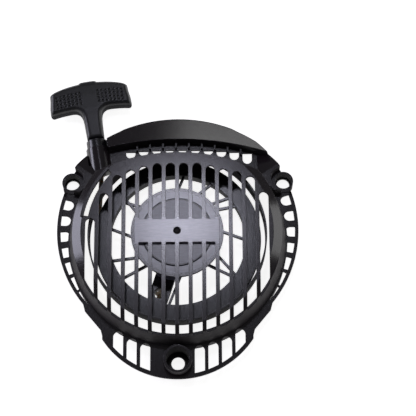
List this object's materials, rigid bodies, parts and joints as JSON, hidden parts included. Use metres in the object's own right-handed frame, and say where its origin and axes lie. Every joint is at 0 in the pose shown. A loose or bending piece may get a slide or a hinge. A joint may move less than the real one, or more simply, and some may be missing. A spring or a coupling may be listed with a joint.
{
  "type": "recoil starter",
  "caption": "Pull-rope recoil starter for a small engine: vented round housing with grille, spoked rope pulley, coil spring, pawls and T-shaped pull handle.",
  "frame": {"origin": "where the pulley axis, which is also the centre of the three-hole bolt circle, meets the mounting plane behind the housing", "axes": "+Z along the pulley axis, out of the grille; +Y from the lower bolt hole toward the crown and the handle; +X to the right as seen from the grille side"},
  "size_m": [0.2573, 0.3188, 0.0478],
  "materials": {
    "housing_nylon": "satin, fine moulded grain",
    "guide_acetal": "smooth satin",
    "sleeve_steel": "turned",
    "pulley_nylon": "satin moulded",
    "keeper_nylon": "satin moulded",
    "spring_steel": "blued strip, oiled",
    "rope_fibre": "braided, cream with orange flecks",
    "grip_nylon": "satin with dimpled wings",
    "zinc_plate": "pressed, bright zinc plate",
    "wire_steel": "drawn wire",
    "pawl_steel": "blanked and hardened",
    "screw_zinc": "bright zinc plate"
  },
  "bodies": {
    "housing": {"housing": "housing_nylon", "rope_guide": "guide_acetal", "pivot_sleeve": "sleeve_steel", "screw_washer": "screw_zinc", "centre_screw": "screw_zinc", "rope_run": "rope_fibre"},
    "pulley": {"pulley": "pulley_nylon", "spring_keeper": "keeper_nylon", "recoil_spring": "spring_steel", "rope_coil": "rope_fibre", "rope_knot": "rope_fibre", "brake_spring": "wire_steel", "brake_washer": "sleeve_steel", "pawl_spring_1": "wire_steel", "pawl_spring_2": "wire_steel"},
    "handle": {"handle_grip": "grip_nylon", "handle_plug": "grip_nylon", "handle_knot": "rope_fibre"},
    "retainer": {"retainer_plate": "zinc_plate"},
    "pawl_1": {"pawl_1": "pawl_steel"},
    "pawl_2": {"pawl_2": "pawl_steel"}
  },
  "joints": [
    {"name": "pulley_spin", "type": "hinge", "parent": "housing", "child": "pulley", "pos_m": [0, 0, 0], "axis": [0, 0, -1], "range_deg": [0, 720], "stiffness_Nm_per_rad": 0.12, "springref_deg": -343.77},
    {"name": "handle_pull", "type": "slide", "parent": "housing", "child": "handle", "axis": [-0.1564, 0.9877, 0], "range_m": [0, 1]},
    {"name": "retainer_turn", "type": "hinge", "parent": "pulley", "child": "retainer", "pos_m": [0, 0, 0], "axis": [0, 0, 1], "range_deg": [0, 12]},
    {"name": "pawl_1_swing", "type": "hinge", "parent": "pulley", "child": "pawl_1", "pos_m": [0.021, 0, 0], "axis": [0, 0, 1], "range_deg": [0, 38]},
    {"name": "pawl_2_swing", "type": "hinge", "parent": "pulley", "child": "pawl_2", "pos_m": [-0.021, 0, 0], "axis": [0, 0, 1], "range_deg": [0, 38]}
  ],
  "couplings": [
    {"joint": "handle_pull", "follows": "pulley_spin", "m_per_rad": 0.079},
    {"joint": "pawl_1_swing", "follows": "retainer_turn", "ratio": 3.1},
    {"joint": "pawl_2_swing", "follows": "retainer_turn", "ratio": 3.1}
  ]
}
